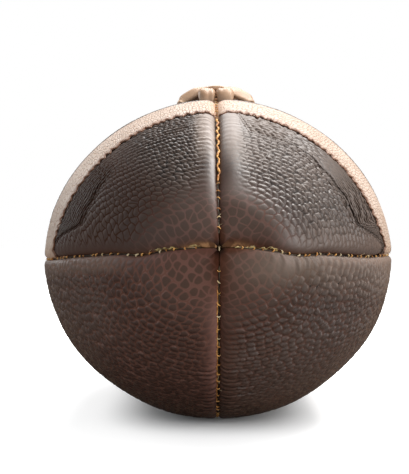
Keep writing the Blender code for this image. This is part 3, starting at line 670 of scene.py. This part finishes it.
        # Lighter leather towards the lower right's tip, and a painted light on the lower left's outer side.
        pale_wear_and_light = 0.07 * rise(from_tip, 24, 14) if lower_right else 0.17 * outward
        pulled_in = np.where(by_bottom, 0.7, 0.15)
    browned = 0.25 * rise(angle, 116, 26) if upper_left else 1 * lower_left + 0.6 * lower_right
    side_seam = np.abs((angle + 90) % 180 - 90) < 45
    fray = np.exp(-np.maximum(from_seam - 0.7 * MM, 0) / (0.7 * MM)) * (side_seam & upper)
    # A painted highlight, partly worn leather: a pinkish band on the lower left panel's roll by the bottom
    # seam, where it faces the light, and weaker by the side seam.
    blush = np.exp(-((np.maximum(from_seam, 0) / (5 * MM)) ** 1.5)) * lower_left
    blush *= np.where(by_bottom, rise(from_tip, 4, 14), 0.3)
    store(piece, {
        "blank": np.stack([cell_u + 40 * index, cell_v, 0 * y], axis=-1),
        "relief": pressed * MM * strength * (1 + 0.3 * by_side),
        "rows": rows_deep * MM * strength * (1 + by_side) * (1 + 0.6 * outward),
        "scuff": scuff,
        "matt": matt,
        "streak": streak,
        "crease": np.clip(off, -25, 25),
        "creased": (1 - 0.45 * high_up if upper_right else 0.45 * lasting) * front,
        "tip": fall(from_tip, 6, 26),
        "seam": np.exp(-np.maximum(from_seam, 0) / red_and_shade_reach),
        "wear": wear + pale_wear_and_light * (1 - wear),
        "gather": gather * pulled_in + 0.7 * scuff,
        "brown": browned + 0 * y,
        "dust": belly * (0.2 if upper else 0.8),
        "fray": fray * fall(from_tip, 25, 30),
        "blush": blush * (1 - 0.65 * rise(from_tip, 45, 35)),
    })
    backed(piece, points, 1.9 * MM, 36, 10, 14)
    pebbled(piece)
    dress(piece, pebble_leather)
    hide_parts("panel_" + name)
    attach(piece, "root")


# ==== The cream stripes ====
# A band of cream-painted leather round each laced panel at both ends, thin and finely grained.
# Its tip-side edge is ragged, because it breaks off along the pebbles' grooves.

cream, tree, shader, place = new_finish("cream_stripe")
_, rim = pebble_cells(attribute(tree, "blank"), 1)
cracks = step_up(rim, 0, 0.18, 1, 0)
broken = cracks * step_up(noise(place, 260), 0.25, 0.6)
colour = mix(step_up(noise(place, 40), 0.3, 0.7), (0.47, 0.362, 0.288), (0.55, 0.442, 0.368))
colour = mix(broken * 0.8, colour, (0.33, 0.19, 0.115))
colour = mix(step_up(noise(place, 620, 2), 0.6, 0.68, 0, 0.6), colour, (0.34, 0.17, 0.09))
colour = mix(attribute(tree, "seam"), colour, (0.5, 0.24, 0.09))
# Darker along both edges: partly a brown edge to the paint, partly painted shade where the stripe meets the
# pebbled leather.
colour = mix(step_up(attribute(tree, "edge"), 0.15, 0.85), colour, (0.17, 0.07, 0.032))
facing = bumped(cracks, 0.8, 0.0004, invert=True)
feed(shader, {"Base Color": colour, "Roughness": 0.55, "Normal": facing})


def stripe_shape(name, end, rows):
    """A stripe's outside, from its laces-side edge to its ragged tip-side edge."""
    share = np.linspace(0, 1, rows + 1)[:, None]
    start = 60.5 * MM
    along = end * (start + (stripe_far - start) * share)
    angle, low, out = rolled(name, along, 0, 10, 230)
    y = along + stripe_shift(angle, along + 0 * angle) - end * share * stripe_edge(angle)
    run = run_along(surface(angle, y, 0, out, low))
    rim_run = run[-1:]
    phase = rim_run / (4 * MM) + 0.25 * np.sin(rim_run / (5 * MM)) + 0.12 * np.sin(rim_run / (2.2 * MM))
    tooth = (np.abs(phase % 1 - 0.5) * 2) ** 0.8
    deeper = 2.2 + 0.5 * np.sin(rim_run / (6.7 * MM)) + 0.3 * np.sin(rim_run / (2.9 * MM))
    ragged = deeper * MM * (tooth - 0.5) + 0.2 * MM * np.sin(rim_run / (0.8 * MM))
    y = y - end * ragged * rise(share, 0.72, 0.28)
    from_seam = np.minimum(run, run[:, -1:] - run)
    return surface(angle, y, 0, out, low), run, from_seam, share + 0 * run, y


for end, where in ((-1, "front"), (1, "rear")):
    for side in ("left", "right"):
        shape = stripe_shape("upper_" + side, end, 44)
        points, run, from_seam, share, y = (values[::end] for values in shape)
        rim_drop = fall(np.minimum(share, 1 - share), 0, 0.02)
        points = points + facing_out(points) * (0.22 * MM - 0.5 * MM * rim_drop)[..., None]
        piece = grid(f"stripe_skin_{where}_{side}", points)
        grain = np.stack([run / (1.5 * MM), y / (3.4 * MM) + 90 * (side == "left"), 0 * y], axis=-1)
        # Both edges, wider at the ragged tip-side one, for the dark edge band: partly a brown paint edge,
        # partly painted shade.
        edge = np.maximum(np.exp(-share / 0.03), np.exp(-(1 - share) / 0.1))
        store(piece, {"blank": grain, "seam": np.exp(-from_seam / (3.2 * MM)), "edge": edge})
        backed(piece, points, 0.3 * MM, 10, 60, 0)
        piece.data.shade_smooth()
        dress(piece, cream)
        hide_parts(f"stripe_{where}_{side}")
        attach(piece, "root")


# ==== The lace ====
# One flat strip of cream leather, worn beige: two long runs along the slit, each coming up through
# the slit's end in a fat hump, and eight strands laid across them from hole to hole.

lace_depth = 7.8 * MM  # the strip's middle under the leather, below the lining and the facings
lace_half, lace_thick = 3.2 * MM, 1.3 * MM
slit_end, run_x, corner = 53 * MM, 4.5 * MM, 8 * MM


def above(x, y, lift):
    """Point over the laced top, x from the slit and lift above the leather's smooth outside."""
    share = min(abs(x + slit_x) / (half_width * float(girth(y))), 1)
    height = (1 - share**section_power) ** (1 / section_power)
    return np.array([x + slit_x, y, float(axis_height(y)) + half_height * float(girth(y)) * height + lift])


def lace_dive(x, end, lean):
    """From inside, up through the slit's end and over a fat hump, heading for the middle."""
    marks = (
        (-7, -lace_depth, 1, 1),
        (-2.6, -lace_depth, 1, 1),
        (-0.7, 1.3 * MM - lace_depth, 1, 1),
        (0.2, -4.6 * MM, 1, 1.2),
        (0.4, -1.2 * MM, 1.1, 1.5),
        (-0.6, 1.7 * MM, 1.3, 1.7),
        (-3.4, 3.2 * MM, 1.36, 1.4),
    )
    wide = (math.cos(lean), 0, math.sin(lean))
    return [
        (above(x, end * (slit_end + away * MM), lift), wide, size, fat)
        for away, lift, size, fat in marks
    ]


def lace_run(x, end):
    places = [end * slit_end * share for share in (0.86, 0.58, 0.29, 0, -0.29, -0.58, -0.86)]
    return [(above(x, y, 1.6 * MM), (1, 0, 0), 1, 1) for y in places]


def lace_turn(centre, radius, first, last, steps):
    """A flat turn under the leather, round centre from one angle in degrees to another."""
    points = []
    for i in range(1, steps):
        angle = math.radians(first + (last - first) * i / steps)
        out = np.array([math.cos(angle), math.sin(angle), 0])
        x, y = centre[0] + radius * out[0], centre[1] + radius * out[1]
        points.append((above(x, y, -lace_depth), out * (-1 if last > first else 1), 1, 1))
    return points


def lace_hole(side, y):
    """Up through a hole, from inside to outside."""
    marks = (
        (-3, -lace_depth, 1),
        (-1, 0.8 * MM - lace_depth, 0.78),
        (-0.1, -4.8 * MM, 0.78),
        (0, -2 * MM, 0.78),
        (-0.3, 0.4 * MM, 0.78),
    )
    return [(above(side * (hole_x + away * MM), y, lift), (0, 1, 0), size, 1) for away, lift, size in marks]


def lace_strand(y, tilt, rise_by):
    """Over the top from the right hole to the left one; its sides lean towards the tip."""
    half = ((0, 1), (0.2, 0.98), (0.36, 0.9), (0.56, 0.72), (0.75, 0.46), (0.9, 0.22))
    points = []
    for x, height in [*reversed(half), *((-x, height) for x, height in half[1:])]:
        lean = tilt * float(rise(abs(x), 0.1, 0.5))
        wide = (0, math.cos(lean), math.sin(lean))
        place = above(x * hole_x, y, (4.5 * MM + rise_by) * height)
        points.append((place, wide, 1 if abs(x) < 0.8 else 0.89, 1))
    return points


def lace_link(y):
    """Under the leather from a left hole to the next right one."""
    points = []
    for i in range(1, 6):
        share = i / 6
        heading = unit(np.array([31, 72 * share * (1 - share), 0]))
        place = above((2 * share - 1) * 15.5 * MM, y + hole_pitch * float(ease(share)), -lace_depth)
        points.append((place, (-heading[1], heading[0], 0), 1, 1))
    return points


def lace_marks():
    """The strip's whole way: out along the left run, back along the right, then hole by hole."""
    path = lace_dive(-run_x, -1, 0.1) + lace_run(-run_x, -1) + lace_dive(-run_x, 1, 0)[::-1]
    path += lace_turn((0, 46 * MM), run_x, 180, 360, 5)
    turned = lace_dive(run_x, 1, 0) + lace_run(run_x, 1) + lace_dive(run_x, -1, -0.1)[::-1][:-1]
    path += [(place, -np.array(wide), size, fat) for place, wide, size, fat in turned]
    path += lace_turn((run_x + corner, cross_places[0] - corner), corner, 180, 90, 4)
    tilts = (0.95, 0.25, -0.2, 0.15, -0.1, 0.2, -0.25, -0.6)
    for i, (y, tilt) in enumerate(zip(cross_places, tilts)):
        path += lace_hole(1, y) + lace_strand(y, tilt, (0.2 if i else 0.8) * MM) + lace_hole(-1, y)[::-1]
        if y != cross_places[-1]:
            path += lace_link(y)
    return path


def smooth_way(marks, spacing):
    """Fine, even steps along a soft curve through all the marks."""
    table = np.array([[*place, *wide, size, fat] for place, wide, size, fat in marks])
    ends = np.concatenate([2 * table[:1] - table[1:2], table, 2 * table[-1:] - table[-2:-1]])
    share = np.linspace(0, 1, 12, endpoint=False)[None, :, None]
    a, b, c, d = (ends[i : len(ends) - 3 + i, None] for i in range(4))
    bend = (2 * a - 5 * b + 4 * c - d) * share**2 + (3 * b - a - 3 * c + d) * share**3
    curve = 0.5 * (2 * b + (c - a) * share + bend)
    curve = np.concatenate([curve.reshape(-1, table.shape[1]), table[-1:]])
    run = run_along(curve[:, :3])
    even = np.linspace(0, run[-1], int(run[-1] / spacing) + 1)
    return np.stack([np.interp(even, run, column) for column in curve.T], axis=1), even


def tube(name, rows):
    """A closed skin over rows of rings, with flat ends."""
    piece = grid(name, np.concatenate([rows, rows[:, :1]], axis=1))
    bpy.ops.object.mode_set(mode="EDIT")
    bpy.ops.mesh.select_all(action="SELECT")
    bpy.ops.mesh.remove_doubles(threshold=1e-7)
    bpy.ops.object.mode_set(mode="OBJECT")
    select_rim(piece)
    bpy.ops.mesh.edge_face_add()
    turn_out()
    return piece


way, length = smooth_way(lace_marks(), 0.85 * MM)
length = length[:, None]
place, wide, size, fat = way[:, :3], way[:, 3:6], way[:, 6:7], way[:, 7:8]
heading = unit(np.gradient(place, axis=0))
wide = unit(wide - (wide * heading).sum(axis=1, keepdims=True) * heading)
thick = np.cross(heading, wide)
turn = np.linspace(0, 2 * math.pi, 22, endpoint=False)[None, :]
square = 0.62 + 0.34 * rise(fat, 1.1, 0.4)
across, up = (np.sign(way_round) * np.abs(way_round) ** square for way_round in (np.cos(turn), np.sin(turn)))
crumple = 0.12 * np.sin(3 * turn + length / (7 * MM)) * np.sin(length / (3.1 * MM) + 2 * turn)
furrow = 0.3 * np.exp(-(((across - 0.35) / 0.16) ** 2)) * (np.sin(length / (19 * MM)) > -0.4)
across = across * (1 + 0.03 * np.sin(length / (4.3 * MM)))
up = up * (1 + crumple - furrow)
rows = place[:, None] + wide[:, None] * (across * size * lace_half)[..., None]
rows = rows + thick[:, None] * (up * size * fat * lace_thick)[..., None]
lace = tube("lace_strip", rows)
lace.data.shade_smooth()

lace_leather, tree, shader, place = new_finish("lace_leather")
mottle = noise(place, 120, 5)
hollow_for_shade = result(tree, "ShaderNodeNewGeometry", {}, out="Pointiness")
colour = mix(step_up(mottle, 0.35, 0.65), (0.345, 0.21, 0.126), (0.48, 0.315, 0.203))
# Painted shade in the lace's concave spots and folds, found from the mesh's pointiness.
colour = mix(step_up(hollow_for_shade, 0.42, 0.5, 0.75, 0), colour, (0.2, 0.12, 0.07))
rough = step_up(mottle, 0.3, 0.7, 0.38, 0.55)
feed(shader, {"Base Color": colour, "Roughness": rough, "Normal": bumped(noise(place, 900), 0.25, 0.0002)})
dress(lace, lace_leather)
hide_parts("lace")
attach(lace, "root")


# ==== The seam threads ====
# Waxed sewing thread in each seam's valley: a dark cord deep down, an orange stitch across it
# every few millimetres, and frayed ends where a stitch has worn through.


def mottled(name, first_colour, second_colour, rough, patches, grain, spread=(0, 1)):
    """A finish of two mottled colours over a fine grain."""
    made, _, shader, place = new_finish(name)
    patch = noise(place, patches, 4)
    if spread != (0, 1):
        patch = step_up(patch, *spread)
    scale, strength, distance = grain
    colour = mix(patch, first_colour, second_colour)
    facing = bumped(noise(place, scale, 2), strength, distance)
    feed(shader, {"Base Color": colour, "Roughness": rough, "Normal": facing})
    return made


waxed, stitched, fibrous, lumpy_wax = range(4)
thread_kinds = [
    mottled("thread_" + name, first_colour, second_colour, rough, 420, (2600, 0.6, 0.0002), (0.38, 0.62))
    for name, first_colour, second_colour, rough in (
        ("waxed", (0.02, 0.01, 0.004), (0.06, 0.034, 0.009), 0.45),
        ("stitch", (0.36, 0.13, 0.022), (0.72, 0.37, 0.1), 0.5),
        ("fibre", (0.55, 0.4, 0.2), (0.75, 0.62, 0.4), 0.6),
        ("wax_lumps", (0.1, 0.06, 0.015), (0.4, 0.29, 0.1), 0.4),
    )
]


def cord(curve, points, radii, kind):
    """One length of thread through the points, as part of a seam's curve."""
    spline = curve.splines.new("POLY")
    spline.points.add(len(points) - 1)
    spline.material_index = kind
    spline.points.foreach_set("co", np.concatenate([points, np.ones((len(points), 1))], axis=1).ravel())
    spline.points.foreach_set("radius", np.broadcast_to(radii, len(points)) / MM)


def seam_spot(seam, y, across, low):
    """A point in a seam's valley, across from its middle and low below the ball's outside."""
    angle = seam_angle(seam, y)
    turned = angle + np.degrees(np.arcsin(across / section_radius(angle, y)))
    return surface(turned, y, 0, angle, low)


def lip_low(seam, y, across):
    """How low the leather lies in a seam's valley, at a distance from the valley's middle."""
    _, deep, wide, gap = seam_roll(seam, y)
    level = np.clip(1 - (np.abs(across) - gap) / wide, 0, 1) ** (1 / fullness[seam])
    return deep * (1 - np.sqrt(1 - level**2) ** fullness[seam])


def strand(curve, seam, y, across, low, radii, kind):
    """A length of thread that lies in a seam's valley, above the floor."""
    points = seam_spot(seam, y, across, low)
    points[:, 2] = np.maximum(points[:, 2], 0.5 * MM)
    cord(curve, points, radii, kind)


def rope(curve, seam, end):
    """The worn, twisted stitches that lie along the top or bottom seam's front or rear stretch."""
    near, far = (86, 117) if seam == "top" else (82, 126.5)
    y = end * np.linspace(near, far, 200) * MM
    along = np.linspace(0, far - near, 200)
    lumpy = 0.5 + 0.5 * np.sin(along * 2.1 + np.sin(along * 0.7)) + 0.3 * rng.standard_normal(200)
    if seam == "top":
        across = (-0.25 + 0.38 * np.sin(along * 1.5) + 0.12 * np.sin(along * 3.7)) * MM
        low, thick = 0.42 * seam_roll(seam, y)[1], (0.3 + 0.22 * lumpy) * MM
    else:
        across = (-0.62 + 0.12 * np.sin(along * 1.1) + 0.06 * np.sin(along * 3.1)) * MM
        low, thick = lip_low(seam, y, across) - 0.1 * MM, (0.13 + 0.12 * lumpy) * MM
    strand(curve, seam, y, across, low, np.maximum(thick, 0.08 * MM), stitched)


def wax_lump(curve, seam, end):
    """A lump of old wax on a side seam's upper lip, close to a tip."""
    middle = end * rng.uniform(121.5, 129.5) * MM
    y = middle + np.linspace(-1, 1, 7) * rng.uniform(0.3, 1.1) * MM
    up = 1 if seam == "right" else -1
    across = up * (rng.uniform(0.1, 0.9) + 0.15 * rng.standard_normal(7)) * MM
    low = lip_low(seam, y, across) - rng.uniform(0, 0.25) * MM
    strand(curve, seam, y, across, low, rng.uniform(0.2, 0.42) * MM * (1.1 - bow**2), lumpy_wax)


def stitch(curve, seam, here):
    """One stitch across a seam's valley, with a frayed end here and there."""
    deep = float(seam_roll(seam, here)[1])
    if seam == "top":
        across, level, thick = 0.7 * bow, rng.uniform(0.3, 0.5), rng.uniform(0.16, 0.28)
    elif seam == "bottom":
        across, level, thick = 0.75 * bow - 0.1, rng.uniform(0.38, 0.52), rng.uniform(0.16, 0.32)
    else:
        across, level, thick = rng.uniform(0.35, 0.7) * bow, rng.uniform(0.35, 0.6), rng.uniform(0.2, 0.38)
    slant = rng.uniform(-0.1, 0.35) * MM
    low = level * deep + 0.45 * MM * bow**2 - 0.1 * MM
    taper = 1 - 0.35 * bow**2 - 0.25 * bow * (seam == "bottom")
    kind = fibrous if rng.uniform() < 0.18 else stitched
    strand(curve, seam, here + slant * bow, across * MM, low, thick * MM * taper, kind)
    for _ in range(rng.integers(0, 2)):
        start = seam_spot(seam, here, rng.uniform(-0.5, 0.5) * MM, level * deep - 0.2 * MM)
        angle = math.radians(float(seam_angle(seam, here)))
        out = np.array([math.cos(angle), 0, math.sin(angle)])
        drift = rng.standard_normal(3) * 0.8 + out * rng.uniform(0.2, 1.3)
        curl = rng.standard_normal(3) * 0.7
        hair = start + rng.uniform(0.5, 1.4) * MM * (drift * grown + curl * grown**2)
        hair[:, 2] = np.maximum(hair[:, 2], 0.3 * MM)
        cord(curve, hair, 0.07 * MM * (1 - 0.5 * grown[:, 0]), fibrous)


def tip_hair(curve):
    """A stray fibre in the little hole where the four panels meet."""
    start = np.array([0, -131.2 * MM, axis_height(tip_y) - 0.9 * MM]) + rng.uniform(-0.2, 0.2, 3) * MM
    hair = start + rng.uniform(-0.4, 0.4, 3) * MM * grown + np.array([0, 0, 1.7 * MM]) * grown
    cord(curve, hair, 0.12 * MM, fibrous)


rng = np.random.default_rng(7)
bow = np.linspace(-1, 1, 7)  # along a stitch, from one lip to the other
grown = np.linspace(0, 1, 6)[:, None]  # along a loose fibre
for name, seam, first, last, pitch in (
    ("left", "left", -129.6, 129.6, (3, 6)),
    ("right", "right", -129.6, 129.6, (2.6, 5.2)),
    ("bottom", "bottom", -129.6, 129.6, (4, 7)),
    ("top_front", "top", -129.6, -57, (3.4, 4.8)),
    ("top_rear", "top", 57, 129.6, (3.4, 4.8)),
):
    bpy.ops.curve.primitive_bezier_curve_add()
    thread = bpy.context.object
    thread.name = "stitches_" + name
    curve = thread.data
    curve.splines.clear()
    curve.bevel_depth = MM
    curve.bevel_resolution = 1
    curve.use_fill_caps = True
    for kind in thread_kinds:
        curve.materials.append(kind)
    y = np.linspace(first * MM, last * MM, 560)
    low = seam_roll(seam, y)[1] * 0.85
    run = run_along(seam_spot(seam, y, 0, low))
    sway = 0.12 * MM * np.sin(run / (1.7 * MM)) + 0.1 * MM * np.sin(run / (0.9 * MM) + 2)
    thick = (0.34 + 0.08 * np.sin(run / (2.3 * MM)) + 0.05 * rng.standard_normal(560)) * MM
    strand(curve, seam, y, sway, low, thick, waxed)
    for end in (-1, 1):
        if seam == "bottom" or seam == "top" and first * end > 0:
            rope(curve, seam, end)
        if seam in ("left", "right"):
            for _ in range(11):
                wax_lump(curve, seam, end)
    at = 1.5 * MM
    while at < run[-1] - 1 * MM:
        here = float(np.interp(at, run, y))
        at += rng.uniform(*pitch) * MM
        if seam != "top" or not 86 * MM < abs(here) < 117 * MM:
            stitch(curve, seam, here)
    if name == "left":
        for _ in range(4):
            tip_hair(curve)
    bpy.ops.object.convert(target="MESH")
    thread = bpy.context.object
    thread.data.name = thread.name
    thread.data.shade_smooth()
    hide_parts("seam_thread_" + name)
    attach(thread, "root")


# ==== The valve, the bladder, the tongue and the linings ====
# The valve is a black rubber plug in its little hole; under the slit lies a brown leather tongue
# between two cloth facings, and inside hang the cloth linings and the slack rubber bladder.

for name, first_colour, second_colour, scale, rough, bumpy, starts in (
    ("cloth_weave", (0.3, 0.26, 0.19), (0.42, 0.37, 0.29), 90, 0.85, 0.6, ("lining_", "lace_facing")),
    ("bladder_rubber_dull", (0.16, 0.08, 0.03), (0.28, 0.15, 0.06), 30, 0.6, 0.1, ("bladder",)),
    ("valve_rubber", (0.012, 0.012, 0.012), (0.03, 0.028, 0.026), 200, 0.5, 0.2, ("valve",)),
    ("tongue_leather", (0.05, 0.028, 0.018), (0.09, 0.05, 0.032), 60, 0.6, 0.4, ("lace_tongue",)),
):
    finish = mottled(name, first_colour, second_colour, rough, scale, (scale * 12, bumpy, 0.0003))
    for carried in scene.objects:
        if carried.type == "MESH" and carried.name.startswith(starts):
            dress(carried, finish)


# ==== The light ====
# Eight soft square lamps round the ball, the strongest high on its right and behind it, and a
# pale room that the camera sees as plain white.

white = (1, 1, 1)
ball_middle = 80 * MM  # above the floor, where every lamp points
for name, energy, size, place, colour in (
    ("over_right", 14.4, 0.5, (0.42, -0.00, 0.99), (1, 0.975, 0.95)),
    ("over_back", 8.3, 0.6, (0.00, 0.42, 0.99), white),
    ("right", 2.4, 0.5, (0.81, -0.14, 0.65), white),
    ("right_low", 4.2, 0.5, (0.86, -0.5, 0.22), white),
    ("back_left", 3.2, 0.5, (-0.78, 0.45, 0.5), white),
    ("left_low", 1.5, 0.5, (-0.95, -0.25, 0.25), (0.82, 0.92, 1)),
    ("front_left", 0.55, 0.5, (-0.56, -0.66, 0.58), white),
    ("front_low", 3.5, 0.8, (0.00, -1.00, 0.13), white),
):
    lamp = bpy.data.lights.new(name, "AREA")
    lamp.energy, lamp.size, lamp.color = energy, size, colour
    lamp_object = bpy.data.objects.new(name, lamp)
    scene.collection.objects.link(lamp_object)
    lamp_object.location = place
    lean = math.atan2(math.hypot(place[0], place[1]), place[2] - ball_middle)
    lamp_object.rotation_euler = (lean, 0, math.atan2(place[0], -place[1]))

world = bpy.data.worlds.new("pale_room")
scene.world = world
world.use_nodes = True
sky = world.node_tree
background = sky.nodes["Background"]
feed(background, {"Color": (*white, 1), "Strength": 0.2})
by_camera = result(sky, "ShaderNodeLightPath", {}, out="Is Camera Ray")
plain = result(sky, "ShaderNodeBackground", {"Color": (*white, 1), "Strength": 1})
room = Value(sky, background.outputs[0])
seen = result(sky, "ShaderNodeMixShader", {0: by_camera, 1: room, 2: plain})
feed(sky.nodes["World Output"], {"Surface": seen})
scene.view_settings.view_transform = "Standard"


# ==== The floor ====
# A white floor under the ball. For the camera it gives off light, faintly close to the ball and plain white
# further out, so the dark contact shadow is a painted shadow laid over the lamps' real one.

bpy.ops.mesh.primitive_plane_add(size=12, location=(0, 0, -0.0002))
floor = bpy.context.object
floor.name = "floor"
floor_white, tree, _, around = new_finish("floor_white")
spans = []
for side, centre, stretch in (("X", 0.0015, 1.25), ("Y", 0, 0.9)):
    span = (result(tree, "ShaderNodeSeparateXYZ", {0: around}, out=side) + centre) * stretch
    spans.append(span.maths("ABSOLUTE").maths("POWER", 3.2))
away = (spans[0] + spans[1]).maths("POWER", 1 / 3.2)
# The floor's emission: low under the ball, a painted shadow, rising to white further out.
lift = step_up(away, 0.038, 0.079, 0.02, 0.6) + step_up(away, 0.075, 0.16, 0, 0.25)
matt = result(tree, "ShaderNodeBsdfDiffuse", {"Color": (0.85, 0.85, 0.85, 1)})
shadow_shaping_glow = result(tree, "ShaderNodeEmission", {"Color": (*white, 1), "Strength": lift})
both = result(tree, "ShaderNodeAddShader", {0: matt, 1: shadow_shaping_glow})
dim = result(tree, "ShaderNodeBsdfDiffuse", {"Color": (0.22, 0.21, 0.2, 1)})
by_camera = result(tree, "ShaderNodeLightPath", {}, out="Is Camera Ray")
shown = result(tree, "ShaderNodeMixShader", {0: by_camera, 1: dim, 2: both})
feed(tree.nodes["Material Output"], {"Surface": shown})
dress(floor, floor_white)
